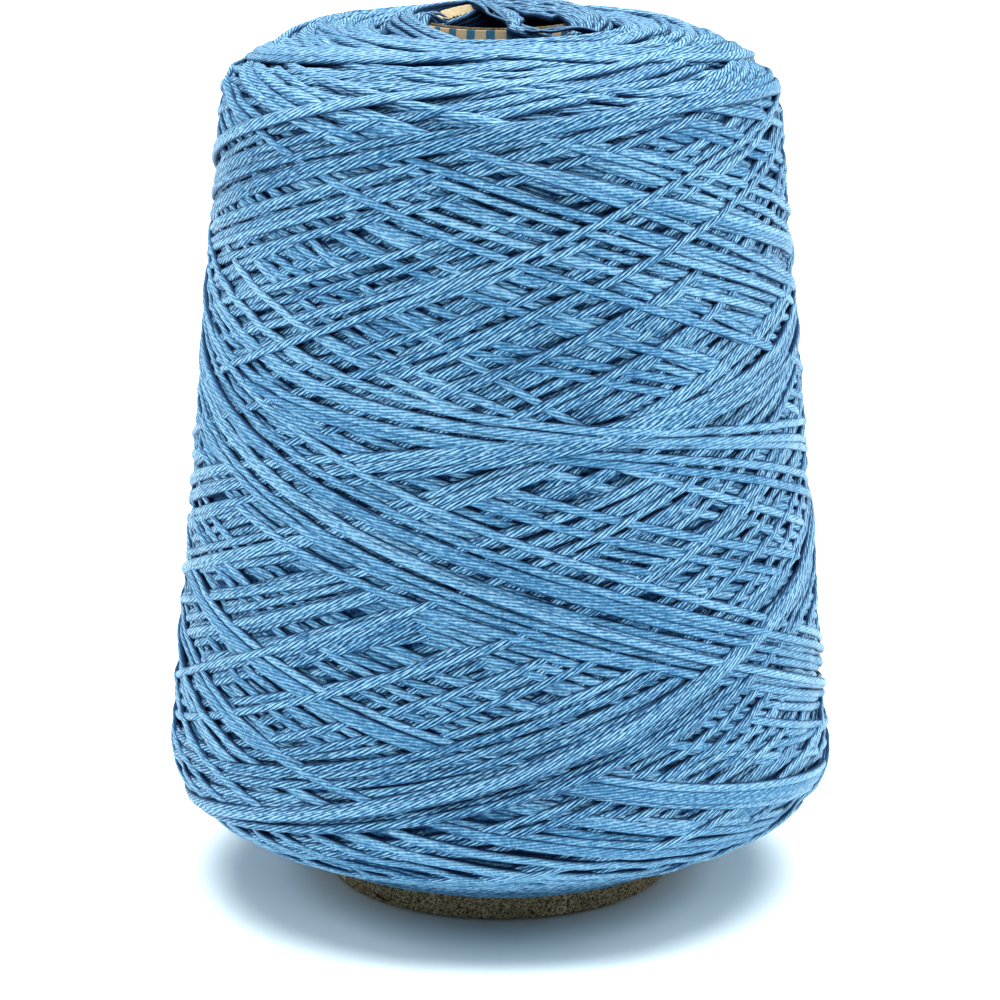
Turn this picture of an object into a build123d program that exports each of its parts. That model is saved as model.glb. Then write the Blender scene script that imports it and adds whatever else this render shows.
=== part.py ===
from build123d import *
from math import radians, tan
import os

# A cone of plied yarn. Origin on the axis, at the foot of the cone. +Z runs up to the nose.
# -Y is the front. Sizes are in millimetres.

# Paperboard cone
cone_length = 170.0
cone_base_radius = 34.0
cone_half_angle = 5.95
inner_ply_thickness = 0.8
ply_thickness = 0.4
outer_ply_names = ["second_ply", "third_ply", "cover_ply"]
ply_foot_gap = 0.4
ply_nose_step = 0.3
nose_edge_round = 0.15

# The overlap seam, where the two ends of the cover ply meet
seam_angle = -10.0
seam_gap = 0.35

# A torn lip of board, folded in over the nose and down into the bore
flap_start_angle = 111.0
flap_sweep = 38.0
flap_reach = 2.4
flap_drop = 1.3
flap_thickness = 0.5

# Yarn package, outer surface
foot_band = 5.0
nose_band = 1.8
base_corner_radius = 66.0
underside_rise = 14.8
shoulder_radius = 52.9
shoulder_drop = 8.2
crown_radius = 37.0
crown_rise = 0.3
base_round = 12.0
shoulder_round = 9.0
crown_round = 25.0

# The package is wound in stages, each one covering the last
winding_names = [
    "starter_winding",
    "second_winding",
    "third_winding",
    "fourth_winding",
    "fifth_winding",
    "sixth_winding",
    "seventh_winding",
    "outer_winding",
]
end_step = 2.0

cone_slope = tan(radians(cone_half_angle))
ply_total = inner_ply_thickness + ply_thickness * len(outer_ply_names)


def cone_radius(z, depth=0.0):
    """Radius of the cone at height z, depth millimetres in from its outer face."""
    return cone_base_radius - z * cone_slope - depth


def ply_profile(depth_in, depth_out, foot, nose):
    """Corners of one ply's section, from its inner face to its outer face."""
    return [
        (cone_radius(foot, depth_in), foot),
        (cone_radius(foot, depth_out), foot),
        (cone_radius(nose, depth_out), nose),
        (cone_radius(nose, depth_in), nose),
    ]


def winding_corners(stage):
    """Corners of the package's outline once this many stages are wound."""
    share = stage / len(winding_names)
    unwound = len(winding_names) - stage
    foot = foot_band + end_step * unwound
    nose = cone_length - nose_band - end_step * unwound
    base_z = foot + share * underside_rise
    shoulder_z = nose - share * shoulder_drop
    crown_z = nose + share * crown_rise
    return [
        (cone_radius(foot), foot),
        (cone_radius(base_z) + share * (base_corner_radius - cone_radius(base_z)), base_z),
        (cone_radius(shoulder_z) + share * (shoulder_radius - cone_radius(shoulder_z)), shoulder_z),
        (cone_radius(crown_z) + share * (crown_radius - cone_radius(crown_z)), crown_z),
        (cone_radius(nose), nose),
    ]


def nearest(corners, place):
    """The sketch corner that stands at a given place on the section."""
    return corners.sort_by(lambda corner: (corner.center() - Vector(*place)).length)[0]


def round_outline(section, stage):
    """Round the three outer corners of a winding's outline."""
    share = stage / len(winding_names)
    outline = winding_corners(stage)
    for place, radius in zip(outline[1:4], (base_round, shoulder_round, crown_round)):
        fillet(nearest(section.vertices(), place), radius=radius * share)


os.makedirs("parts", exist_ok=True)
finished = []

# The innermost ply stands on the floor and stops at the nose
with BuildPart() as inner_ply:
    with BuildSketch(Plane.XZ):
        with BuildLine():
            Polyline(*ply_profile(ply_total, ply_total - inner_ply_thickness, 0.0, cone_length), close=True)
        make_face()
    revolve(axis=Axis.Z)
    fillet(inner_ply.edges().filter_by(GeomType.CIRCLE).group_by(Axis.Z)[-1], radius=nose_edge_round)
inner_ply.part.label = "inner_ply"
finished.append(inner_ply.part)

# The outer plies are rolled over it, trimmed a little short of both ends
for index, name in enumerate(outer_ply_names):
    depth_in = ply_total - inner_ply_thickness - ply_thickness * index
    nose_edge = cone_length - ply_nose_step * (index + 1) / len(outer_ply_names)
    with BuildPart() as ply:
        with BuildSketch(Plane.XZ):
            with BuildLine():
                depth_out = depth_in - ply_thickness
                Polyline(*ply_profile(depth_in, depth_out, ply_foot_gap, nose_edge), close=True)
            make_face()
        revolve(axis=Axis.Z)
        if name == "cover_ply":
            seam_plane = Plane.XY.rotated((0, 0, seam_angle))
            with BuildSketch(seam_plane):
                with Locations((cone_base_radius, 0)):
                    Rectangle(2 * cone_base_radius, seam_gap)
            extrude(amount=cone_length, mode=Mode.SUBTRACT)
    ply.part.label = name
    finished.append(ply.part)

# The torn lip hangs from the inner ply's nose edge
with BuildPart() as torn_flap:
    flap_root = cone_radius(cone_length, ply_total - inner_ply_thickness) - nose_edge_round
    bore_edge = cone_radius(cone_length, ply_total)
    with BuildSketch(Plane.XZ):
        with BuildLine():
            Polyline(
                (flap_root, cone_length),
                (bore_edge, cone_length),
                (bore_edge - flap_reach, cone_length - flap_drop),
                (bore_edge - flap_reach, cone_length - flap_drop + flap_thickness),
                (bore_edge, cone_length + flap_thickness),
                (flap_root, cone_length + flap_thickness),
                close=True,
            )
        make_face()
    revolve(axis=Axis.Z, revolution_arc=flap_sweep)
torn_flap.part.label = "torn_flap"
finished.append(torn_flap.part.rotate(Axis.Z, flap_start_angle))

# The windings, from the cone's surface outwards
for stage, name in enumerate(winding_names, start=1):
    with BuildPart() as winding:
        with BuildSketch(Plane.XZ) as outline:
            with BuildLine():
                Polyline(*winding_corners(stage), close=True)
            make_face()
            round_outline(outline, stage)
        revolve(axis=Axis.Z)
        if stage > 1:
            with BuildSketch(Plane.XZ) as wound_before:
                with BuildLine():
                    Polyline(*winding_corners(stage - 1), close=True)
                make_face()
                round_outline(wound_before, stage - 1)
            revolve(axis=Axis.Z, mode=Mode.SUBTRACT)
    winding.part.label = name
    finished.append(winding.part)

for piece in finished:
    export_step(piece, f"parts/{piece.label}.step")
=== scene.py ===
import math

import bpy
import numpy as np
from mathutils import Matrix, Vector


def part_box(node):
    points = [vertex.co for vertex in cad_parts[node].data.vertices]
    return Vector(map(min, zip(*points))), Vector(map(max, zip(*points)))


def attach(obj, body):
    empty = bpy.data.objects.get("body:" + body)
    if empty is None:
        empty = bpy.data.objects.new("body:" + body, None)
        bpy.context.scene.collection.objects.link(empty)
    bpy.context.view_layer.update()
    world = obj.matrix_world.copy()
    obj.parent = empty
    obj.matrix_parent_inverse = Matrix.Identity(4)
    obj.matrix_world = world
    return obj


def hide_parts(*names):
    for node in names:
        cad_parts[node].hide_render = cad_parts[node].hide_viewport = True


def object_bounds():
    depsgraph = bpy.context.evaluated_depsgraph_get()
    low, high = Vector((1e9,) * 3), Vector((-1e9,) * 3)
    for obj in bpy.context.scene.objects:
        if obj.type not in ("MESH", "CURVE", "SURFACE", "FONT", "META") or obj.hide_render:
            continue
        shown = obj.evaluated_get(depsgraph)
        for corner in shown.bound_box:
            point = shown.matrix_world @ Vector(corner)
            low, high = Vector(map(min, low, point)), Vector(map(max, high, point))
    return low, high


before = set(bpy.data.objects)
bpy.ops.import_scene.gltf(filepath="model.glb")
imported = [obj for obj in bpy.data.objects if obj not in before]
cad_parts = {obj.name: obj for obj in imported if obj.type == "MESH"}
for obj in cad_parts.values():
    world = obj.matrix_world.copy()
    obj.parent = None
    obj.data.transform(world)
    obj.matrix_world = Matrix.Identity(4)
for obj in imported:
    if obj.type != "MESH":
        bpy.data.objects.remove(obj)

cadLow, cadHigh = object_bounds()
rng = np.random.default_rng(57)

# Lengths are in metres. The axis of the cone is z, and the front of it faces -y.

print("camera and light")

cameraSetup = {
    "distance": 0.700,       # from the axis, level with the floor
    "height": 0.2603,
    "tilt": 14.82,           # degrees below level
    "focal": 3.677,          # focal length over the sensor's width
    "sensor": 36.0,          # millimetres
    "farthest": 20.0,
}

studio = {
    "worldColour": (0.93, 0.97, 1.0),
    "worldStrength": 0.16,
    "sunPlace": (0.04, 0.13, 1.0),
    "sunWidth": 66.0,        # degrees across, a very soft light
    "sunPower": 4.75,
    "frontPlace": (0.12, -1.55, 1.12),
    "frontSize": 1.0,
    "frontPower": 4.5,
    "sidePlace": (1.05, -0.05, 0.66),
    "sideSize": 0.5,
    "sidePower": 4.3,
    "look": "High Contrast",
    "floorSize": 6.0,
    "floorColour": (0.88, 0.965, 0.985, 1.0),
    "floorRoughness": 0.9,
    "floorSpecular": 0.1,
}


def newMaterial(name):
    material = bpy.data.materials.new(name)
    material.use_nodes = True
    return material, material.node_tree, material.node_tree.nodes["Principled BSDF"]


def meshFrom(name, points, faces):
    mesh = bpy.data.meshes.new(name)
    mesh.from_pydata(points, [], faces)
    return mesh


def addObject(name, mesh, material):
    mesh.materials.append(material)
    thing = bpy.data.objects.new(name, mesh)
    bpy.context.collection.objects.link(thing)
    return thing


def aimAt(thing, target):
    thing.rotation_euler = (Vector(target) - thing.location).to_track_quat("-Z", "Y").to_euler()


def makeCamera():
    camData = bpy.data.cameras.new("viewer")
    camData.sensor_width = cameraSetup["sensor"]
    camData.lens = cameraSetup["sensor"] * cameraSetup["focal"]
    camData.clip_end = cameraSetup["farthest"]
    cam = bpy.data.objects.new("viewer", camData)
    cam.location = (0.0, -cameraSetup["distance"], cameraSetup["height"])
    cam.rotation_euler = (math.radians(90.0 - cameraSetup["tilt"]), 0.0, 0.0)
    bpy.context.collection.objects.link(cam)
    bpy.context.scene.camera = cam


def makeLamp(name, kind, place, power, target):
    lampData = bpy.data.lights.new(name, kind)
    lampData.energy = power
    lamp = bpy.data.objects.new(name, lampData)
    lamp.location = place
    bpy.context.collection.objects.link(lamp)
    aimAt(lamp, target)
    return lampData


def makeStudio():
    world = bpy.data.worlds.new("paleRoom")
    world.use_nodes = True
    glow = world.node_tree.nodes["Background"]
    glow.inputs["Color"].default_value = (*studio["worldColour"], 1.0)
    glow.inputs["Strength"].default_value = studio["worldStrength"]
    bpy.context.scene.world = world
    bpy.context.scene.view_settings.view_transform = "Standard"
    bpy.context.scene.view_settings.look = studio["look"]
    middle = (0.0, 0.0, (cadLow.z + cadHigh.z) / 2)
    sun = makeLamp("skylight", "SUN", studio["sunPlace"], studio["sunPower"], (0.0, 0.0, 0.0))
    sun.angle = math.radians(studio["sunWidth"])
    front = makeLamp("frontSoftbox", "AREA", studio["frontPlace"], studio["frontPower"], middle)
    front.size = studio["frontSize"]
    for way, name in ((-1, "leftSoftbox"), (1, "rightSoftbox")):
        place = (way * studio["sidePlace"][0], *studio["sidePlace"][1:])
        sideLamp = makeLamp(name, "AREA", place, studio["sidePower"], middle)
        sideLamp.size = studio["sideSize"]
    half = studio["floorSize"] / 2
    corners = [(-half, -half, 0), (half, -half, 0), (half, half, 0), (-half, half, 0)]
    paper, _, shader = newMaterial("floorPaper")
    shader.inputs["Base Color"].default_value = studio["floorColour"]
    shader.inputs["Roughness"].default_value = studio["floorRoughness"]
    shader.inputs["Specular IOR Level"].default_value = studio["floorSpecular"]
    addObject("floor", meshFrom("floor", corners, [(0, 1, 2, 3)]), paper)


makeCamera()
makeStudio()

print("yarn materials")

yarnDyeAndShade = {
    # the deep tone also serves as painted shade on strand sides, in ply grooves and in the packed rows'
    # grooves
    "deep": (0.0015, 0.022, 0.080, 1.0),
    "body": (0.058, 0.176, 0.306, 1.0),
    "bright": (0.315, 0.490, 0.620, 1.0),
    "stops": (0.38, 0.74, 0.98214),  # levels at which the three colours are reached
    "ground": 0.46,          # level of plain yarn, before what is added below
    "fibreShare": 0.78,
    "plyShadeShare": 0.52,
    "toneShare": 0.10,
    "blotchShare": 0.12,
    "speckShare": 0.30,
    "markedPlyDarkening": 0.07,      # strands whose plies are more strongly marked are a little darker overall
    "fibreStretch": (90.0, 900.0, 1.0),
    "blotchScale": 60.0,
    "speckScale": 1700.0,
    "speckDetail": 1.0,
    "flankFrom": 0.10,       # where a strand's side starts to darken, with 0 at its top and 2 below
    "flankTo": 0.65,
    "flankShade": 0.9,
    "crownRise": 0.6,        # in the bump, for each unit of fibre
    "bumpStrength": 0.7,
    "bumpDepth": 0.0002,
    "roughness": 0.5,
    "specular": 0.34,
    "specularTint": (0.55, 0.80, 1.0, 1.0),
    "sheen": 0.08,
    "sheenRoughness": 0.4,
    "sheenTint": (0.60, 0.82, 1.0, 1.0),
}

packedLook = {
    "patchScale": 45.0,      # in a patch all rows lean the same way
    "lean": 0.020,           # rise of a row for each radian of turn
    "rowsPerMetre": 570.0,
    "grooveShade": 0.9,
    "grainScale": 1600.0,
    "stops": (0.02, 0.62),
    "roughness": 0.8,
    "specular": 0.2,
}


def addNode(tree, kind, **values):
    node = tree.nodes.new(kind)
    for key, value in values.items():
        setattr(node, key, value)
    return node


def join(tree, source, target):
    tree.links.new(source, target)


def mathNode(tree, operation, a, b=None):
    node = addNode(tree, "ShaderNodeMath", operation=operation)
    for slot, value in zip(node.inputs, (a, b)):
        if value is None:
            continue
        if isinstance(value, (int, float)):
            slot.default_value = value
        else:
            join(tree, value, slot)
    return node.outputs[0]


def plus(tree, a, b):
    return mathNode(tree, "ADD", a, b)


def minus(tree, a, b):
    return mathNode(tree, "SUBTRACT", a, b)


def times(tree, a, b):
    return mathNode(tree, "MULTIPLY", a, b)


def mixColour(tree, blend, factor, a, b):
    node = addNode(tree, "ShaderNodeMix", data_type="RGBA", blend_type=blend)
    for slot, value in ((node.inputs[0], factor), (node.inputs[6], a), (node.inputs[7], b)):
        if isinstance(value, (int, float, tuple)):
            slot.default_value = value
        else:
            join(tree, value, slot)
    return node.outputs[2]


def addNoise(tree, coords, scale, detail=2.0, **values):
    noise = addNode(tree, "ShaderNodeTexNoise", **values)
    noise.inputs["Scale"].default_value = scale
    noise.inputs["Detail"].default_value = detail
    join(tree, coords, noise.inputs["Vector"])
    return noise.outputs["Fac"]


def addRamp(tree, level, stops, colours):
    ramp = addNode(tree, "ShaderNodeValToRGB")
    elements = ramp.color_ramp.elements
    for index in (0, -1):
        elements[index].position = stops[index]
        elements[index].color = colours[index]
    for stop, colour in zip(stops[1:-1], colours[1:-1]):
        elements.new(stop).color = colour
    join(tree, level, ramp.inputs["Fac"])
    return ramp.outputs["Color"]


def addBump(tree, shader, height, strength, depth):
    bump = addNode(tree, "ShaderNodeBump")
    bump.inputs["Strength"].default_value = strength
    bump.inputs["Distance"].default_value = depth
    join(tree, height, bump.inputs["Height"])
    join(tree, bump.outputs["Normal"], shader.inputs["Normal"])


def pliedYarnMaterial():
    material, tree, shader = newMaterial("pliedYarn")
    coords = addNode(tree, "ShaderNodeTexCoord").outputs["Object"]
    tone, across, plyShadeAndRelief, flank = [
        addNode(tree, "ShaderNodeAttribute", attribute_name=label).outputs["Fac"]
        for label in ("strandTone", "plyAcross", "plyShadeAndRelief", "strandSide")]
    # 1 on the crown of a marked ply, 0 in the groove beside it: a painted highlight on the crown and
    # painted shade in the groove, which also drives the bump
    crown = mathNode(tree, "ABSOLUTE", minus(tree, across, 0.5))
    crown = minus(tree, 0.5, times(tree, crown, 2.0))
    crown = plus(tree, times(tree, crown, plyShadeAndRelief), 0.5)
    # fibres run along each ply
    place = addNode(tree, "ShaderNodeUVMap", uv_map="OFBake")
    stretch = addNode(tree, "ShaderNodeMapping")
    stretch.inputs["Scale"].default_value = yarnDyeAndShade["fibreStretch"]
    join(tree, place.outputs["UV"], stretch.inputs["Vector"])
    fibre = addNoise(tree, stretch.outputs[0], 1.0, noise_dimensions="2D")
    blotch = addNoise(tree, coords, yarnDyeAndShade["blotchScale"])
    speck = addNoise(tree, coords, yarnDyeAndShade["speckScale"], yarnDyeAndShade["speckDetail"])
    grain = times(tree, minus(tree, fibre, 0.5), plyShadeAndRelief)
    speckle = minus(tree, speck, 0.5)
    level = yarnDyeAndShade["ground"]
    for source, share in ((grain, "fibreShare"), (crown, "plyShadeShare"), (tone, "toneShare"),
                          (blotch, "blotchShare"), (speckle, "speckShare")):
        level = plus(tree, level, times(tree, source, yarnDyeAndShade[share]))
    level = minus(tree, level, times(tree, plyShadeAndRelief, yarnDyeAndShade["markedPlyDarkening"]))
    colours = (yarnDyeAndShade["deep"], yarnDyeAndShade["body"], yarnDyeAndShade["bright"])
    colour = addRamp(tree, level, yarnDyeAndShade["stops"], colours)
    # the sides of a strand lie in the shade of its neighbours
    shade = addNode(tree, "ShaderNodeMapRange", interpolation_type="SMOOTHSTEP")
    shade.inputs["From Min"].default_value = yarnDyeAndShade["flankFrom"]
    shade.inputs["From Max"].default_value = yarnDyeAndShade["flankTo"]
    shade.inputs["To Min"].default_value = 0.0
    shade.inputs["To Max"].default_value = yarnDyeAndShade["flankShade"]
    join(tree, flank, shade.inputs["Value"])
    colour = mixColour(tree, "MIX", shade.outputs["Result"], colour, yarnDyeAndShade["deep"])
    join(tree, colour, shader.inputs["Base Color"])
    relief = plus(tree, times(tree, crown, yarnDyeAndShade["crownRise"]), fibre)
    addBump(tree, shader, relief, yarnDyeAndShade["bumpStrength"], yarnDyeAndShade["bumpDepth"])
    shader.inputs["Roughness"].default_value = yarnDyeAndShade["roughness"]
    shader.inputs["Specular IOR Level"].default_value = yarnDyeAndShade["specular"]
    shader.inputs["Specular Tint"].default_value = yarnDyeAndShade["specularTint"]
    shader.inputs["Sheen Weight"].default_value = yarnDyeAndShade["sheen"]
    shader.inputs["Sheen Roughness"].default_value = yarnDyeAndShade["sheenRoughness"]
    shader.inputs["Sheen Tint"].default_value = yarnDyeAndShade["sheenTint"]
    return material


def packedYarnMaterial():
    # Rows of strands that lean one way or the other, as they show at the bottom of a gap
    material, tree, shader = newMaterial("packedYarn")
    coords = addNode(tree, "ShaderNodeTexCoord").outputs["Object"]
    split = addNode(tree, "ShaderNodeSeparateXYZ")
    join(tree, coords, split.inputs[0])
    angle = mathNode(tree, "ARCTAN2", split.outputs["Y"], split.outputs["X"])
    rising = mathNode(tree, "GREATER_THAN", addNoise(tree, coords, packedLook["patchScale"]), 0.5)
    lean = minus(tree, times(tree, rising, 2.0), 1.0)
    along = times(tree, times(tree, angle, packedLook["lean"]), lean)
    rows = plus(tree, split.outputs["Z"], along)
    rows = mathNode(tree, "FRACT", times(tree, rows, packedLook["rowsPerMetre"]))
    rows = mathNode(tree, "ABSOLUTE", minus(tree, rows, 0.5))
    # painted shade: the grooves between the painted rows are darkened
    rows = times(tree, rows, packedLook["grooveShade"])
    level = minus(tree, addNoise(tree, coords, packedLook["grainScale"]), rows)
    colour = addRamp(tree, level, packedLook["stops"], (yarnDyeAndShade["deep"], yarnDyeAndShade["body"]))
    join(tree, colour, shader.inputs["Base Color"])
    shader.inputs["Roughness"].default_value = packedLook["roughness"]
    shader.inputs["Specular IOR Level"].default_value = packedLook["specular"]
    return material


print("package outline")

yarnLow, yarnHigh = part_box("outer_winding")
noseTop = round(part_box("inner_ply")[1].z, 5)

packageShape = {
    "footCorners": ((-0.03177, 0.0), (0.00075, 0.0148)),     # from the yarn's widest and its foot
    "noseCorners": ((-0.01235, -0.0100), (-0.02825, -0.0015), (-0.04895, -0.0018)),  # and the nose
    "rounds": (0.012, 0.009, 0.025),
    "arcPoints": 24,
    "step": 0.0004,
    "bendStations": 9,       # the outline's bend is averaged over this many
    "turnCells": 1200,
    "cellWidth": 0.0003,     # of one of those, about halfway up
    "bedDepth": 0.0013,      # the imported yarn's face, this far inside the outline
    "pressWidth": 0.0055,    # how wide a patch settles together
    "packedTurns": 240,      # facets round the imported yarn
    "packedStations": 6,     # one ring of it for this many stations
}


def outlineCorners(shape):
    # Radius and level, foot to nose, in whole hundredths of a millimetre so that every run winds alike
    corners = [(yarnHigh.x + out, yarnLow.z + up) for out, up in shape["footCorners"]]
    corners += [(yarnHigh.x + out, noseTop + up) for out, up in shape["noseCorners"]]
    return [(round(radius, 5), round(level, 5)) for radius, level in corners]


def roundedOutline(shape):
    corners = outlineCorners(shape)
    points = [np.array(corners[0])]
    for before, corner, after, radius in zip(corners, corners[1:], corners[2:], shape["rounds"]):
        corner = np.array(corner)
        back = np.array(before) - corner
        ahead = np.array(after) - corner
        back /= np.linalg.norm(back)
        ahead /= np.linalg.norm(ahead)
        halfAngle = math.acos(float(back @ ahead)) / 2
        reach = radius / math.tan(halfAngle)
        bisector = (back + ahead) / np.linalg.norm(back + ahead)
        centre = corner + bisector * radius / math.sin(halfAngle)
        start = corner + back * reach - centre
        finish = corner + ahead * reach - centre
        sweep = math.acos(float(start @ finish) / radius**2)
        for turn in np.linspace(0.0, 1.0, shape["arcPoints"]):
            a, b = math.sin((1 - turn) * sweep), math.sin(turn * sweep)
            points.append(centre + (start * a + finish * b) / math.sin(sweep))
    points.append(np.array(corners[-1]))
    points = np.array(points)
    along = np.r_[0.0, np.cumsum(np.linalg.norm(np.diff(points, axis=0), axis=1))]
    even = np.linspace(0.0, along[-1], int(along[-1] / shape["step"]) + 1)
    outline = np.stack([np.interp(even, along, points[:, k]) for k in (0, 1)], 1)
    slope = np.gradient(outline, even, axis=0)
    slope /= np.linalg.norm(slope, axis=1)[:, None]
    normal = np.stack([slope[:, 1], -slope[:, 0]], 1)
    bend = np.gradient(np.unwrap(np.arctan2(slope[:, 1], slope[:, 0])), even)
    width = shape["bendStations"]
    bend = np.convolve(np.pad(bend, width // 2, mode="edge"), np.ones(width) / width, "valid")
    return even, outline, normal, bend


def blurKernel(cells, width):
    return np.exp(-2 * (math.pi * np.fft.rfftfreq(cells) * width) ** 2)


def blurred(values, kernel, axis):
    spectrum = np.fft.rfft(values, axis=axis) * kernel
    return np.fft.irfft(spectrum, values.shape[axis], axis=axis)


class Bed:
    # The round surface that the strands are laid on, and how high the yarn already stands on it

    def __init__(self, shape):
        self.stations, self.points, self.normal, self.bend = roundedOutline(shape)
        self.step = float(self.stations[1])
        self.turnCells = shape["turnCells"]
        self.height = np.full((self.turnCells, len(self.stations)), -shape["bedDepth"])
        self.pressed = np.zeros_like(self.height)
        self.covered = np.zeros_like(self.height)
        self.blurAlong = blurKernel(2 * len(self.stations), shape["pressWidth"] / self.step)
        self.blurRound = blurKernel(self.turnCells, shape["pressWidth"] / shape["cellWidth"])

    def press(self):
        # The package keeps its shape: yarn that piles up is pressed down, and thin places fill out
        level = blurred(self.height, self.blurRound[:, None], 0)
        level = blurred(np.concatenate([level, level[:, ::-1]], 1), self.blurAlong[None, :], 1)
        level = level[:, :self.height.shape[1]]
        self.height -= level
        self.pressed -= level

    def at(self, stations, values):
        return np.interp(stations, self.stations, values)

    def cells(self, angles, stations):
        turn = np.floor(angles / (2 * math.pi) * self.turnCells).astype(int) % self.turnCells
        along = np.clip(np.rint(stations / self.step).astype(int), 0, len(self.stations) - 1)
        return turn, along

    def place(self, angles, stations, heights):
        radius = self.at(stations, self.points[:, 0]) + heights * self.at(stations, self.normal[:, 0])
        level = self.at(stations, self.points[:, 1]) + heights * self.at(stations, self.normal[:, 1])
        return np.stack([radius * np.cos(angles), radius * np.sin(angles), level], 1)


bed = Bed(packageShape)

print("winding")

strand = {
    "width": 0.00182,        # a laid strand is pressed a little flat
    "thickness": 0.00145,
    "squash": 0.00100,       # how far a strand sinks into what it crosses
    "sag": 200.0,            # extra curvature that a slack strand can follow, per metre
    "proud": 0.0002,         # a strand's axis rides this high before the pile under it gives way
    "give": 0.25,
    "sample": 0.0004,
    "buried": 0.0010,        # a stretch under this much yarn is left out
    "spread": 0.12,          # how much wider a strand gets where it is pressed down
    "spreadFrom": 0.0001,
    "spreadDepth": 0.0011,
    "coverShares": np.linspace(-0.94, 0.94, 11),     # places across a strand where it covers the bed,
    "touchShares": np.linspace(-0.6, 0.6, 7),        # where it rests on what is below,
    "openShares": np.array([-0.8, -0.4, 0.0, 0.4, 0.8]),     # and where yarn above would hide it
    "smooth": 6,             # samples to either side that even out a laid strand,
    "settleSmooth": 3,       # and one that has been pressed down
    "ease": 0.006,           # a stroke leaves the last one's height along this length
    "held": 14,              # samples at a stroke's end that wait for the next stroke to be laid
}

windPlan = {
    "strokes": 270,          # double strokes of the thread guide
    "steepest": 23.5,        # wind angle in degrees
    "flattest": 17.0,
    "bundleSizes": (1, 2, 2, 3, 3, 4, 5),
    "bundleGap": (0.97, 1.09),       # strand spacing in a bundle, in widths
    "topTurn": (0.172, 0.2045),      # where the guide turns back, along the outline
    "footTurn": (0.0035, 0.044),
    "turnTries": 5,
    "turnWindow": 12,        # stations to either side that count for a turning place
    "turnWander": 0.0008,
    "strokeSamples": 900,
    "endSharpness": 8,
    "endBands": ((0.154, 0.186, 0.50),       # where the guide starts to slow down, where it
                 (0.064, 0.032, 0.52)),      # is slowest, and the pace there
    "tries": 12,             # places looked at for each new bundle
    "guideRadius": 0.060,    # the guide's travel for each turn suits this radius
    "slowStrokes": 5,        # double strokes near the end where the guide lingers
    "slowFrom": 256,
    "slowGap": 1.6,          # the spacing of those, over the usual; lingering draws them together
    "slowBand": (0.1150, 0.0100, 0.34),      # middle and width along the outline, and the pace
}


def tautLine(along, need, curvature):
    # The lowest line over every point it has to clear, for a string pulled along a curved surface
    slope = np.concatenate([[0.0], np.cumsum((curvature[1:] + curvature[:-1]) / 2 * np.diff(along))])
    sink = np.concatenate([[0.0], np.cumsum((slope[1:] + slope[:-1]) / 2 * np.diff(along))])
    lifted = need - sink
    hull = [0]
    xs, ys = along.tolist(), lifted.tolist()
    for i in range(1, len(xs)):
        while len(hull) > 1:
            a, b = hull[-2], hull[-1]
            if (ys[b] - ys[a]) * (xs[i] - xs[a]) <= (ys[i] - ys[a]) * (xs[b] - xs[a]):
                hull.pop()
            else:
                break
        hull.append(i)
    return np.interp(along, along[hull], lifted[hull]) + sink


def softened(values, reach):
    if reach < 1:
        return values
    kernel = np.hanning(2 * reach + 3)[1:-1]
    kernel /= kernel.sum()
    return np.convolve(np.pad(values, reach, mode="edge"), kernel, "valid")


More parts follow.
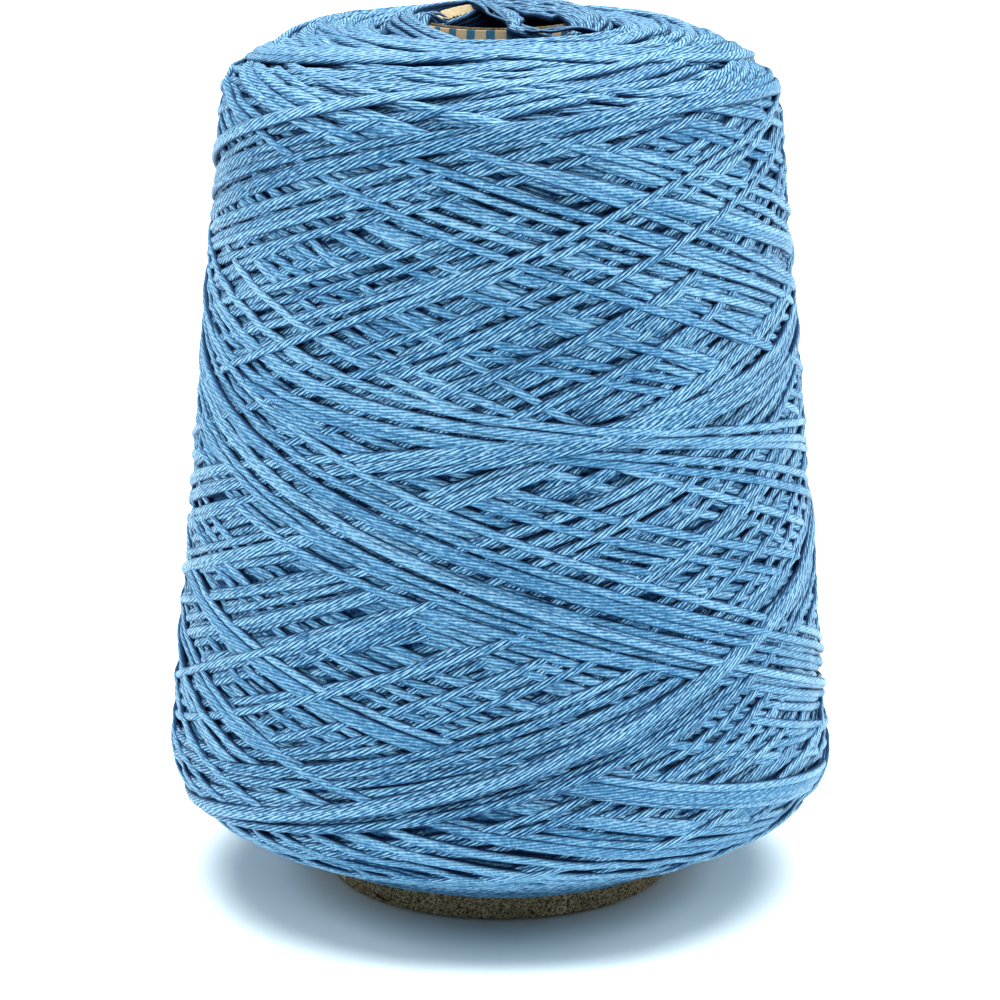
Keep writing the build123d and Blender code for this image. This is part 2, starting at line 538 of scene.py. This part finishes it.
class Winder:
    # Lays one strand on the bed, stroke after stroke, and remembers where it went

    def __init__(self, bed, strand):
        self.bed = bed
        self.halfWidth = strand["width"] / 2
        self.halfThickness = strand["thickness"] / 2
        self.strand = strand
        self.pending = None
        self.lastHeight = None
        self.runs = []

    def section(self, angles, stations, offsets):
        radius = self.bed.at(stations, self.bed.points[:, 0])
        turn = np.gradient(angles) * radius
        climb = np.gradient(stations)
        size = np.hypot(turn, climb)
        cosine, sine = turn / size, climb / size
        angles = angles[:, None] - offsets[None, :] * (sine / radius)[:, None]
        stations = stations[:, None] + offsets[None, :] * cosine[:, None]
        return angles, stations, cosine, sine, radius

    def deposit(self, angles, stations, heights):
        shares = self.strand["coverShares"]
        sideAngles, sideStations, _, _, _ = self.section(angles, stations, shares * self.halfWidth)
        tops = heights[:, None] + self.halfThickness * np.sqrt(1 - shares**2)[None, :]
        cells = self.bed.cells(sideAngles, sideStations)
        np.maximum.at(self.bed.height, cells, tops)
        self.bed.covered[cells] += 1.0

    def lay(self, angles, stations):
        shares = self.strand["touchShares"]
        sideAngles, sideStations, cosine, sine, radius = self.section(
            angles, stations, shares * self.halfWidth)
        below = self.bed.height[self.bed.cells(sideAngles, sideStations)]
        tops = below + self.halfThickness * np.sqrt(1 - shares**2)[None, :]
        need = tops.max(1) - self.strand["squash"]
        proud = self.strand["proud"]
        need = np.where(need > proud, proud + (need - proud) * self.strand["give"], need)
        turnStep = np.hypot(np.diff(angles) * (radius[1:] + radius[:-1]) / 2, np.diff(stations))
        along = np.concatenate([[0.0], np.cumsum(turnStep)])
        curvature = (cosine**2 * self.bed.at(stations, self.bed.normal[:, 0]) / radius
                     + sine**2 * self.bed.at(stations, self.bed.bend) + self.strand["sag"])
        heights = softened(tautLine(along, need, curvature), self.strand["smooth"])
        if self.lastHeight is not None:
            heights = heights + (self.lastHeight - heights[0]) * np.exp(-along / self.strand["ease"])
        if self.pending is not None:
            self.deposit(*self.pending)
        held = self.strand["held"]
        self.deposit(angles[:-held], stations[:-held], heights[:-held])
        self.pending = (angles[-held:], stations[-held:], heights[-held:])
        self.lastHeight = heights[-1]
        cells = self.bed.cells(angles, stations)
        self.runs.append((angles, stations, heights, self.bed.pressed[cells], cells))

    def settled(self):
        # Where each stroke ended up, once everything over it has pressed it down, and where it shows
        shares = self.strand["openShares"]
        for angles, stations, heights, pressedThen, cells in self.runs:
            sink = self.bed.pressed[cells] - pressedThen
            heights = heights + softened(sink, self.strand["settleSmooth"])
            sideAngles, sideStations, _, _, _ = self.section(angles, stations, shares * self.halfWidth)
            above = self.bed.height[self.bed.cells(sideAngles, sideStations)].min(1)
            shown = above - heights - self.halfThickness < self.strand["buried"]
            shown &= heights > -packageShape["bedDepth"] - self.halfThickness
            yield angles, stations, heights, shown


def strokeShape(low, high, slowBand):
    # Turn against travel for one stroke of the guide, at a wind angle of 45 degrees
    phase = np.linspace(-1.0, 1.0, windPlan["strokeSamples"])
    x = np.sin(phase * math.pi / 2)
    stations = (low + high) / 2 + x * (high - low) / 2
    pace = np.sqrt(np.maximum(1 - np.abs(x) ** windPlan["endSharpness"], 1e-6))
    for begin, end, slowest in windPlan["endBands"]:
        share = np.clip((stations - begin) / (end - begin), 0.0, 1.0)
        pace = pace * (1 - (1 - slowest) * share * share * (3 - 2 * share))
    if slowBand is not None:
        centre, width, slowest = slowBand
        pace = pace * (1 - (1 - slowest) * np.exp(-((stations - centre) / width) ** 2))
    middles = (stations[1:] + stations[:-1]) / 2
    radius = np.sqrt(bed.at(middles, bed.points[:, 0]) * windPlan["guideRadius"])
    pace = (pace[1:] + pace[:-1]) / 2
    turns = np.concatenate([[0.0], np.cumsum(np.diff(stations) / (radius * pace))])
    return stations, turns


def resample(angles, stations, step):
    radius = bed.at(stations, bed.points[:, 0])
    move = np.hypot(np.diff(angles) * (radius[1:] + radius[:-1]) / 2, np.diff(stations))
    along = np.concatenate([[0.0], np.cumsum(move)])
    even = np.linspace(0.0, along[-1], int(along[-1] / step) + 2)
    return np.interp(even, along, angles), np.interp(even, along, stations)


def meanHeight(angles, stations):
    return bed.height[bed.cells(angles, stations)].mean()


def lowestTurn(band):
    # Of a few places where the guide could turn back, the one where least yarn has piled up
    tries = rng.uniform(band[0], band[1], windPlan["turnTries"])
    profile = bed.covered.mean(0)
    window = windPlan["turnWindow"]
    levels = []
    for place in tries:
        middle = int(place / bed.step)
        levels.append(profile[max(middle - window, 0):middle + window].mean())
    return float(tries[int(np.argmin(levels))])


def windPackage(winder):
    angle = rng.uniform(0.0, 2 * math.pi)
    left = 0
    foot = lowestTurn(windPlan["footTurn"])
    slowBand = None
    for stroke in range(windPlan["strokes"]):
        if left == 0:
            left = int(rng.choice(windPlan["bundleSizes"]))
            top, nextFoot = lowestTurn(windPlan["topTurn"]), lowestTurn(windPlan["footTurn"])
            newBundle = True
        else:
            top = top + rng.normal(0.0, windPlan["turnWander"])
            nextFoot = nextFoot + rng.normal(0.0, windPlan["turnWander"])
            newBundle = False
        top = float(np.clip(top, *windPlan["topTurn"]))
        nextFoot = float(np.clip(nextFoot, *windPlan["footTurn"]))
        left -= 1
        if stroke == windPlan["slowFrom"]:
            newBundle, left, slowBand = True, windPlan["slowStrokes"] - 1, windPlan["slowBand"]
        elif stroke == windPlan["slowFrom"] + windPlan["slowStrokes"]:
            newBundle, slowBand = True, None
        upStations, upTurns = strokeShape(foot, top, slowBand)
        downStations, downTurns = strokeShape(nextFoot, top, slowBand)
        downStations, downTurns = downStations[::-1], downTurns[-1] - downTurns[::-1]
        whole = upTurns[-1] + downTurns[-1]
        if newBundle:
            wish = math.radians(rng.uniform(windPlan["flattest"], windPlan["steepest"]))
            least = None
            for attempt in range(windPlan["tries"]):
                spin = whole / math.tan(wish) + rng.uniform(-0.5, 0.5) * math.pi
                rise = whole / spin
                ahead = spin - whole / math.tan(wish)
                level = meanHeight(angle + ahead + upTurns / rise, upStations)
                level += meanHeight(angle + ahead + upTurns[-1] / rise + downTurns / rise, downStations)
                if slowBand is not None:
                    # the lingering happens at the front
                    facing = angle + spin + np.interp(slowBand[0], upStations, upTurns) / rise
                    level = abs(math.remainder(facing + math.pi / 2, 2 * math.pi))
                if least is None or level < least[0]:
                    least = (level, spin)
            spin = least[1]
        else:
            sine = math.sin(math.atan(rise))
            gap = rng.uniform(*windPlan["bundleGap"]) * strand["width"]
            gap *= windPlan["slowGap"] if slowBand else 1.0
            shift = gap / (windPlan["guideRadius"] * sine)
            spin = round(spin / (2 * math.pi)) * 2 * math.pi + shift
        rise = whole / spin
        up = resample(angle + upTurns / rise, upStations, strand["sample"])
        winder.lay(*up)
        angle += upTurns[-1] / rise
        down = resample(angle + downTurns / rise, downStations, strand["sample"])
        winder.lay(*down)
        angle += downTurns[-1] / rise
        foot = nextFoot
        bed.press()


winder = Winder(bed, strand)
windPackage(winder)

print("strand meshes")

yarnBuild = {
    "plies": 9,
    "turnLength": 0.0210,    # one full turn of the plies
    "fallingPlyShadeAndRelief": 0.35,   # the plies lie level there and catch less of the light, so their painted shade and highlight and their bump are weaker
    "shadeLoss": 0.55,
    "ringGap": 0.0014,
    "ringsPerPiece": 8300,
    "rowRings": 120,
    "rowFill": 0.90,
    "rowMargin": 0.05,
}


def stepsAlong(path):
    return np.linalg.norm(np.diff(path, axis=0), axis=1)


def strandMesh(name, path, outward, tones, plyShadesAndReliefs, shown, material,
               spread=1.0, scale=1.0, shadeLoss=0.0):
    # Tubes with twisted plies along the shown stretches of a path, in rows on their bake map
    sides = yarnBuild["plies"]
    rings = len(path)
    along = np.concatenate([[0.0], np.cumsum(stepsAlong(path))])
    tangent = np.gradient(path, axis=0)
    tangent /= np.linalg.norm(tangent, axis=1)[:, None]
    up = outward - tangent * (outward * tangent).sum(1)[:, None]
    up /= np.linalg.norm(up, axis=1)[:, None]
    side = np.cross(tangent, up)
    corner = np.arange(sides) * 2 * math.pi / sides
    twist = -2 * math.pi * along / yarnBuild["turnLength"]
    turn = corner[None, :] + twist[:, None]
    tall = np.broadcast_to(scale, rings) * strand["thickness"] / 2
    wide = np.broadcast_to(scale * spread, rings) * strand["width"] / 2
    points = path[:, None, :] + tall[:, None, None] * np.cos(turn)[..., None] * up[:, None, :]
    points += wide[:, None, None] * np.sin(turn)[..., None] * side[:, None, :]
    joined = shown[1:] & shown[:-1]
    starting = np.flatnonzero(shown & ~np.concatenate([[False], joined]))
    ending = np.flatnonzero(shown & ~np.concatenate([joined, [False]]))
    linked = np.flatnonzero(joined)
    ring = linked[:, None] * sides
    here = np.arange(sides)[None, :]
    following = (here + 1) % sides
    quads = np.stack([ring + here, ring + following, ring + sides + following, ring + sides + here], 2)
    quads = quads.reshape(-1, 4)
    firstTip = rings * sides + np.arange(len(starting))[:, None]
    lastTip = firstTip[-1] + 1 + np.arange(len(ending))[:, None]
    startRing, endRing = starting[:, None] * sides, ending[:, None] * sides
    startCaps = np.stack(np.broadcast_arrays(firstTip, startRing + following, startRing + here), 2)
    endCaps = np.stack(np.broadcast_arrays(lastTip, endRing + here, endRing + following), 2)
    points = np.concatenate([points.reshape(-1, 3), path[starting], path[ending]])
    loops = np.concatenate([quads.ravel(), startCaps.ravel(), endCaps.ravel()])
    capCount = (len(starting) + len(ending)) * sides
    used = np.zeros(len(points), bool)
    used[loops] = True
    points = points[used]
    loops = (np.cumsum(used) - 1)[loops]
    starts = np.concatenate([np.arange(len(quads)) * 4, len(quads) * 4 + np.arange(capCount) * 3])
    mesh = bpy.data.meshes.new(name)
    mesh.vertices.add(len(points))
    mesh.vertices.foreach_set("co", points.astype(np.float32).ravel())
    mesh.loops.add(len(loops))
    mesh.loops.foreach_set("vertex_index", loops.astype(np.int32))
    mesh.polygons.add(len(starts))
    mesh.polygons.foreach_set("loop_start", starts.astype(np.int32))
    mesh.update(calc_edges=True)
    mesh.polygons.foreach_set("use_smooth", np.ones(len(starts), bool))
    # every side of a tube has its own place in a row of the bake map, and the caps share a corner
    rowRings = yarnBuild["rowRings"]
    rows = math.ceil(len(linked) / rowRings)
    ringIndex = np.repeat(np.arange(len(linked)), sides)
    row = ringIndex // rowRings
    u0 = (ringIndex % rowRings) / rowRings
    u1 = u0 + 1 / rowRings
    sideIndex = np.tile(np.arange(sides), len(linked))
    v0 = (row + yarnBuild["rowFill"] * sideIndex / sides + yarnBuild["rowMargin"]) / rows
    v1 = v0 + yarnBuild["rowFill"] / sides / rows
    uv = np.stack([np.stack([u0, v0], 1), np.stack([u0, v1], 1), np.stack([u1, v1], 1),
                   np.stack([u1, v0], 1)], 1).reshape(-1, 2)
    tiny = 0.5 / rows / sides
    caps = np.tile(np.array([[0.0, 0.0], [tiny, 0.0], [0.0, tiny]]), (capCount, 1))
    layer = mesh.uv_layers.new(name="OFBake")
    layer.data.foreach_set("uv", np.concatenate([uv, caps]).astype(np.float32).ravel())
    across = np.concatenate([np.tile([0.0, 1.0, 1.0, 0.0], len(quads)), np.zeros(3 * capCount)])
    layer = mesh.attributes.new("plyAcross", "FLOAT", "CORNER")
    layer.data.foreach_set("value", across.astype(np.float32))
    # strands on the top and the underside show more of their sides, so those are shaded less
    sideShade = (1 - np.cos(turn)) * (1 - shadeLoss * np.abs(up[:, 2]))[:, None]
    facts = (("strandTone", np.repeat(tones, sides), tones),
             ("plyShadeAndRelief", np.repeat(plyShadesAndReliefs, sides), plyShadesAndReliefs),
             ("strandSide", sideShade.ravel(), np.ones(rings)))
    for label, values, tips in facts:
        values = np.concatenate([values, tips[starting], tips[ending]])[used]
        layer = mesh.attributes.new(label, "FLOAT", "POINT")
        layer.data.foreach_set("value", values.astype(np.float32))
    mesh.validate()
    piece = addObject(name, mesh, material)
    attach(piece, "root")
    return piece


def evenRings(path, blocks, gap):
    along = np.concatenate([[0.0], np.cumsum(stepsAlong(path))])
    even = np.linspace(0.0, along[-1], int(along[-1] / gap) + 1)
    return [np.stack([np.interp(even, along, block[:, k]) for k in range(block.shape[1])], 1)
            for block in (path, *blocks)]


def buildWinding(winder, material):
    paths, outwards, facts = [], [], []
    for number, (angles, stations, heights, shown) in enumerate(winder.settled()):
        paths.append(bed.place(angles, stations, heights))
        nr = bed.at(stations, bed.normal[:, 0])
        nz = bed.at(stations, bed.normal[:, 1])
        outwards.append(np.stack([nr * np.cos(angles), nr * np.sin(angles), nz], 1))
        depth = np.clip((strand["spreadFrom"] - heights) / strand["spreadDepth"], 0.0, 1.0)
        # how strongly the plies are marked, with painted shade and highlight and bump, less on falling
        # strokes away from the top
        relief = 1 - (1 - yarnBuild["fallingPlyShadeAndRelief"]) * (number % 2) * (1 - np.maximum(nz, 0))
        facts.append(np.stack([np.full(len(angles), rng.uniform(0.0, 1.0)), shown,
                               1 + strand["spread"] * depth, relief], 1))
    path, outward, fact = np.concatenate(paths), np.concatenate(outwards), np.concatenate(facts)
    steps = stepsAlong(path)
    print("strokes", len(paths), "metres", round(float(steps.sum()), 1))
    keep = np.concatenate([[True], steps > 1e-6])
    path, outward, fact = evenRings(path[keep], (outward[keep], fact[keep]), yarnBuild["ringGap"])
    shown = np.convolve(fact[:, 1], np.ones(3), "same") > 0
    print("rings", len(path), "shown", int(shown.sum()))
    reached = np.cumsum(shown)
    pieces = []
    count = math.ceil(reached[-1] / yarnBuild["ringsPerPiece"])
    cuts = np.searchsorted(reached, np.linspace(0, reached[-1], count + 1)[1:-1])
    for number, part in enumerate(np.split(np.arange(len(path)), cuts), start=1):
        if part[-1] + 1 < len(path):
            part = np.append(part, part[-1] + 1)
        pieces.append(strandMesh(f"woundStrand{number:02d}", path[part], outward[part], fact[part, 0],
                                 fact[part, 3], shown[part], material, fact[part, 2],
                                 shadeLoss=yarnBuild["shadeLoss"]))
    return pieces


slackPlan = {
    "loops": 20,             # slack turns that slump over the far and right side of the nose
    "wander": 0.0004,
    "hanging": 6,            # turns that hang down inside the nose at the far left
    "loosePlies": 4,         # plies that have come out of the strand
    "looseSize": 0.42,       # of a whole strand
    "rimTurns": 7,           # turns that stand up round the nose, open at the front
    "lip": 0.0152,           # radius of the nose's lip
    "firstTurn": (108.0, -18.0),     # degrees where the first slump leaves the rim and comes back
    "turnGrowth": -24.0,     # how much further round the others come back, in the end
    "acrossFrom": 0.8,       # the last ones lie right across the mouth,
    "acrossFinish": -82.0,   # to here
    "gap": 0.0011,
    # how strongly the plies are marked, with painted shade and highlight and bump
    "relief": 1.3,
    "lean": 8.0,             # how far a strand's upper side turns outward, per metre from the axis
}


def splined(points, gap):
    # A smooth line through the given points
    points = np.array(points)
    padded = np.vstack([2 * points[0] - points[1], points, 2 * points[-1] - points[-2]])
    parts = []
    for a, b, c, d in zip(padded, padded[1:], padded[2:], padded[3:]):
        t = np.linspace(0.0, 1.0, max(int(np.linalg.norm(c - b) / gap), 2), endpoint=False)[:, None]
        parts.append(0.5 * (2 * b + (c - a) * t + (2 * a - 5 * b + 4 * c - d) * t**2
                            + (3 * b - a - 3 * c + d) * t**3))
    return np.concatenate(parts + [points[-1:]])


def polar(degrees, radius, level):
    return [radius * math.cos(math.radians(degrees)), radius * math.sin(math.radians(degrees)), level]


def slackLoops():
    top = noseTop
    lip = slackPlan["lip"]
    leave, back = slackPlan["firstTurn"]
    for share in np.linspace(0.0, 1.0, slackPlan["loops"]):
        start = leave + rng.uniform(-4.0, 4.0)
        across = share > slackPlan["acrossFrom"]
        finish = slackPlan["acrossFinish"] if across else back + slackPlan["turnGrowth"] * share
        finish += rng.uniform(-3.0, 3.0)
        slump = 0.85 if across else 1.15 * share
        first, last = np.array([polar(start, 0.0178, 0.0), polar(finish, 0.0184, 0.0)])
        points = [polar(start + 30, 0.0212, top - 0.0020), polar(start + 14, 0.0194, top - 0.0004)]
        for t in np.linspace(0.0, 1.0, 13):
            radius = 0.0184 - 0.0014 * math.sin(math.pi * t)
            arc = np.array(polar(start + (finish - start) * t, radius, 0.0))
            spot = arc + (first + (last - first) * t - arc) * slump
            spot[:2] += rng.normal(0.0, slackPlan["wander"], 2) * (0.5 + share)
            reach = math.hypot(spot[0], spot[1])
            # up over the lip, and down a little over the mouth
            if reach > lip:
                level = top - 0.0007 + 0.0014 * math.exp(-((reach - lip) / 0.0016) ** 2)
            else:
                level = top + 0.0007 - 0.0010 * (1 - reach / lip)
            level += 0.0009 * (1 - share) * math.sin(math.pi * t)
            points.append([spot[0], spot[1], level + rng.normal(0.0, slackPlan["wander"] / 2)])
        if across:
            points[-1] = polar(finish, 0.0170, top + 0.0001)
            points.append(polar(finish + 9, 0.0178, top - 0.0012))
            points.append(polar(finish + 24, 0.0188, top - 0.0020))
        points.append(polar(finish + (38 if across else -10), 0.0210, top - 0.0034))
        yield points


def loosePlies():
    top = noseTop
    for k in range(slackPlan["loosePlies"]):
        shift = 0.0009 * k
        points = [polar(128 - 3 * k, 0.0190, top - 0.0006), polar(112 - 3 * k, 0.0163, top + 0.0012),
                  [-0.0030 + shift, 0.0080, top + 0.0009], [-0.0010 + shift, 0.0, top + 0.0006],
                  [0.0006 + shift, -0.0080, top + 0.0005], [0.0024 + shift, -0.0150, top + 0.0004],
                  [0.0062 + shift, -0.0172, top - 0.0003], [0.0115 + shift, -0.0152, top + 0.0002],
                  [0.0150 + shift, -0.0140, top - 0.0006], [0.0185 + shift, -0.0118, top - 0.0022]]
        wander = slackPlan["wander"]
        yield [[x + rng.normal(0, wander), y + rng.normal(0, wander), z] for x, y, z in points]


def hangingTurns():
    top = noseTop
    for k in range(slackPlan["hanging"]):
        turn = 14.0 * k
        points = [(230, 0.0200, -0.0030), (216, 0.0176, -0.0008), (204, 0.0152, 0.0008),
                  (190, 0.0134, -0.0010), (170, 0.0132, -0.0026), (148, 0.0131, -0.0024),
                  (126, 0.0132, -0.0016), (104, 0.0138, 0.0001), (86, 0.0152, 0.0008),
                  (66, 0.0178, -0.0004)]
        yield [polar(degrees - turn + rng.uniform(-2, 2), radius, top + level - 0.0003 * k)
               for degrees, radius, level in points]


def rimTurns():
    top = noseTop
    for k in range(slackPlan["rimTurns"]):
        out = 0.00125 * (k // 2) + rng.uniform(-0.0002, 0.0002)
        down = 0.0004 * (k // 2) - 0.0007 * (k % 2)
        points = [(248, 0.0204, -0.0028), (232, 0.0186, -0.0020), (210, 0.0175, -0.0010),
                  (180, 0.0172, -0.0004), (150, 0.0172, -0.0001), (120, 0.0172, 0.0001),
                  (90, 0.0172, 0.0001), (60, 0.0172, 0.0001), (30, 0.0172, 0.0),
                  (0, 0.0172, -0.0003), (-25, 0.0176, -0.0010), (-42, 0.0188, -0.0020),
                  (-58, 0.0206, -0.0028)]
        yield [polar(degrees + rng.uniform(-3, 3),
                     radius + out + rng.uniform(-0.0002, 0.0002), top + level - down)
               for degrees, radius, level in points]


def slackStrands(material):
    paths, outwards, shown, tones, scale = [], [], [], [], []
    loose = list(loosePlies())
    for points in (*slackLoops(), *hangingTurns(), *rimTurns(), *loose):
        path = splined(points, slackPlan["gap"])
        paths.append(path)
        scale.append(np.full(len(path), slackPlan["looseSize"] if points in loose else 1.0))
        outwards.append(path * (slackPlan["lean"], slackPlan["lean"], 0.0) + (0.0, 0.0, 1.0))
        shown.append(np.r_[np.ones(len(path) - 1, bool), False])
        tones.append(np.full(len(path), rng.uniform(0.0, 1.0)))
    tones = np.concatenate(tones)
    plyShadesAndReliefs = np.full(len(tones), slackPlan["relief"])
    strandMesh("slackStrands", np.concatenate(paths), np.concatenate(outwards), tones, plyShadesAndReliefs,
               np.concatenate(shown), material, scale=np.concatenate(scale))


def packedBody(material):
    # The yarn underneath, which shows only in the gaps
    turns = packageShape["packedTurns"]
    keep = slice(0, len(bed.points), packageShape["packedStations"])
    profile = bed.points[keep] - bed.normal[keep] * packageShape["bedDepth"]
    inside = [[bed.points[-1, 0], profile[-1, 1]], [bed.points[0, 0], profile[0, 1]]]
    profile = np.concatenate([profile, inside])
    angles = np.arange(turns) * 2 * math.pi / turns
    points = np.stack([profile[:, 0][:, None] * np.cos(angles), profile[:, 0][:, None] * np.sin(angles),
                       np.repeat(profile[:, 1][:, None], turns, 1)], 2).reshape(-1, 3)
    faces = []
    for low in range(len(profile)):
        high = (low + 1) % len(profile)
        for k in range(turns):
            n = (k + 1) % turns
            faces.append((low * turns + k, low * turns + n, high * turns + n, high * turns + k))
    mesh = meshFrom("packedYarn", points.tolist(), faces)
    mesh.polygons.foreach_set("use_smooth", np.ones(len(faces), bool))
    piece = addObject("packedYarn", mesh, material)
    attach(piece, "root")
    return piece


pliedYarn = pliedYarnMaterial()
windingPieces = buildWinding(winder, pliedYarn)
slackStrands(pliedYarn)
packed = packedBody(packedYarnMaterial())
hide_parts("starter_winding", "second_winding", "third_winding", "fourth_winding",
            "fifth_winding", "sixth_winding", "seventh_winding")
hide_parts("outer_winding")

print("paperboard")

boardLook = {
    "shade": (0.090, 0.073, 0.044, 1.0),
    "body": (0.320, 0.268, 0.180, 1.0),
    "fleck": (0.620, 0.540, 0.380, 1.0),
    "stops": (0.36, 0.50, 0.72),
    "grainScale": 2300.0,
    "grainDetail": 4.0,
    "curlScale": 260.0,      # pale fibres lie along the curls of one noise,
    "curlDetail": 1.0,
    "curlWidth": 0.009,
    "sparseScale": 190.0,    # and only where another is high
    "sparseFrom": 0.57,
    "torn": (0.50, 0.42, 0.28, 1.0),
    "tornShare": 0.75,
    "paintedRimShadeFrom": noseTop - 0.0010,   # painted shade: the board at the nose's edge is darkened
    "paintedRimShade": 0.35,
    "teal": (0.055, 0.210, 0.310, 1.0),
    "beige": (0.640, 0.490, 0.315, 1.0),
    "crack": (0.020, 0.017, 0.012, 1.0),
    "crackAt": -134.0,       # degrees round the foot
    "crackReach": 0.085,     # half its length, in radians
    "crackGape": 0.00018,
    "crackLevel": 0.0013,
    "crackFall": 0.0003,     # from its middle to its end
    "crackWander": 0.0012,
    "barPairs": 27,
    "beigeShare": 0.57,
    "barsFrom": noseTop - 0.0120,
    "inkShare": 0.88,
    "bumpStrength": 0.5,
    "bumpDepth": 0.0001,
    "roughness": 0.9,
    "specular": 0.2,
}


def boardMaterial(name, printed, paler=0.0):
    material, tree, shader = newMaterial(name)
    coords = addNode(tree, "ShaderNodeTexCoord").outputs["Object"]
    grain = addNoise(tree, coords, boardLook["grainScale"], boardLook["grainDetail"])
    colours = (boardLook["shade"], boardLook["body"], boardLook["fleck"])
    colour = addRamp(tree, grain, boardLook["stops"], colours)
    # a few pale fibres
    curl = addNoise(tree, coords, boardLook["curlScale"], boardLook["curlDetail"])
    curl = minus(tree, curl, 0.5)
    thin = mathNode(tree, "LESS_THAN", mathNode(tree, "ABSOLUTE", curl), boardLook["curlWidth"])
    sparse = addNoise(tree, coords, boardLook["sparseScale"])
    few = mathNode(tree, "GREATER_THAN", sparse, boardLook["sparseFrom"])
    colour = mixColour(tree, "MIX", times(tree, thin, few), colour, boardLook["fleck"])
    split = addNode(tree, "ShaderNodeSeparateXYZ")
    join(tree, coords, split.inputs[0])
    if paler:
        colour = mixColour(tree, "MIX", paler, colour, boardLook["torn"])
    if printed:
        angle = mathNode(tree, "ARCTAN2", split.outputs["Y"], split.outputs["X"])
        bars = times(tree, angle, boardLook["barPairs"] / (2 * math.pi))
        bars = mathNode(tree, "LESS_THAN", mathNode(tree, "FRACT", bars), boardLook["beigeShare"])
        ink = mixColour(tree, "MIX", bars, boardLook["teal"], boardLook["beige"])
        high = mathNode(tree, "GREATER_THAN", split.outputs["Z"], boardLook["barsFrom"])
        inked = mixColour(tree, "MIX", boardLook["inkShare"], colour, ink)
        colour = mixColour(tree, "MIX", high, colour, inked)
        # a short crack in the foot, widest in its middle
        share = minus(tree, angle, math.radians(boardLook["crackAt"]))
        share = mathNode(tree, "DIVIDE", share, boardLook["crackReach"])
        gape = minus(tree, 1.0, times(tree, share, share))
        gape = times(tree, gape, boardLook["crackGape"])
        wander = times(tree, curl, boardLook["crackWander"])
        fall = times(tree, share, boardLook["crackFall"])
        level = minus(tree, split.outputs["Z"], boardLook["crackLevel"])
        level = plus(tree, level, plus(tree, fall, wander))
        crack = mathNode(tree, "LESS_THAN", mathNode(tree, "ABSOLUTE", level), gape)
        colour = mixColour(tree, "MIX", crack, colour, boardLook["crack"])
    elif not paler:
        # painted shade on the board above this level, at the nose's edge
        paintedRimShade = mathNode(tree, "GREATER_THAN", split.outputs["Z"], boardLook["paintedRimShadeFrom"])
        rimShadeDarkening = times(tree, paintedRimShade, 1 - boardLook["paintedRimShade"])
        colour = mixColour(tree, "MULTIPLY", 1.0, colour, minus(tree, 1.0, rimShadeDarkening))
    join(tree, colour, shader.inputs["Base Color"])
    addBump(tree, shader, grain, boardLook["bumpStrength"], boardLook["bumpDepth"])
    shader.inputs["Roughness"].default_value = boardLook["roughness"]
    shader.inputs["Specular IOR Level"].default_value = boardLook["specular"]
    return material


def paint(node, material):
    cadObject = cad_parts[node]
    cadObject.data.materials.clear()
    cadObject.data.materials.append(material)


greyBoard = boardMaterial("greyBoard", False)
for ply in ("inner_ply", "second_ply", "third_ply"):
    paint(ply, greyBoard)
paint("cover_ply", boardMaterial("printedBoard", True))

flapShape = {
    "from": 151.0,           # degrees round the nose, its low pointed end
    "to": 110.0,
    "low": noseTop - 0.00085,        # its middle's level at each end
    "high": noseTop + 0.00035,
    "tall": 0.0014,
    "thick": 0.0003,
    "radius": 0.0139,
    "lean": 1.0,             # outward, for each unit of rise
    "steps": 40,
    "topWander": 0.00003,
    "lowWander": 0.00010,
}


def tornFlap(material):
    # A strip of torn board that stands in the mouth of the nose, pointed at one end and ragged below
    count = flapShape["steps"]
    half = flapShape["thick"] / 2
    rings = []
    for k in range(count + 1):
        share = k / count
        degrees = flapShape["from"] + (flapShape["to"] - flapShape["from"]) * share
        middle = flapShape["low"] + (flapShape["high"] - flapShape["low"]) * share
        tall = flapShape["tall"] * min(1.0, 0.15 + 3.0 * share, 0.35 + 6.0 * (1 - share))
        top = middle + tall / 2 + rng.normal(0.0, flapShape["topWander"])
        bottom = middle - tall / 2 + rng.normal(0.0, flapShape["lowWander"])
        for level, side in ((bottom, -half), (top, -half), (top, half), (bottom, half)):
            outward = (level - middle) * flapShape["lean"]
            rings.append(polar(degrees, flapShape["radius"] + outward + side, level))
    faces = [(0, 1, 2, 3), (4 * count + 3, 4 * count + 2, 4 * count + 1, 4 * count)]
    for k in range(count):
        for side in range(4):
            a, b = 4 * k + side, 4 * k + (side + 1) % 4
            faces.append((b, a, a + 4, b + 4))
    strip = addObject("tornStrip", meshFrom("tornStrip", rings, faces), material)
    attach(strip, "root")
    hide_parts("torn_flap")


tornFlap(boardMaterial("tornBoard", False, boardLook["tornShare"]))
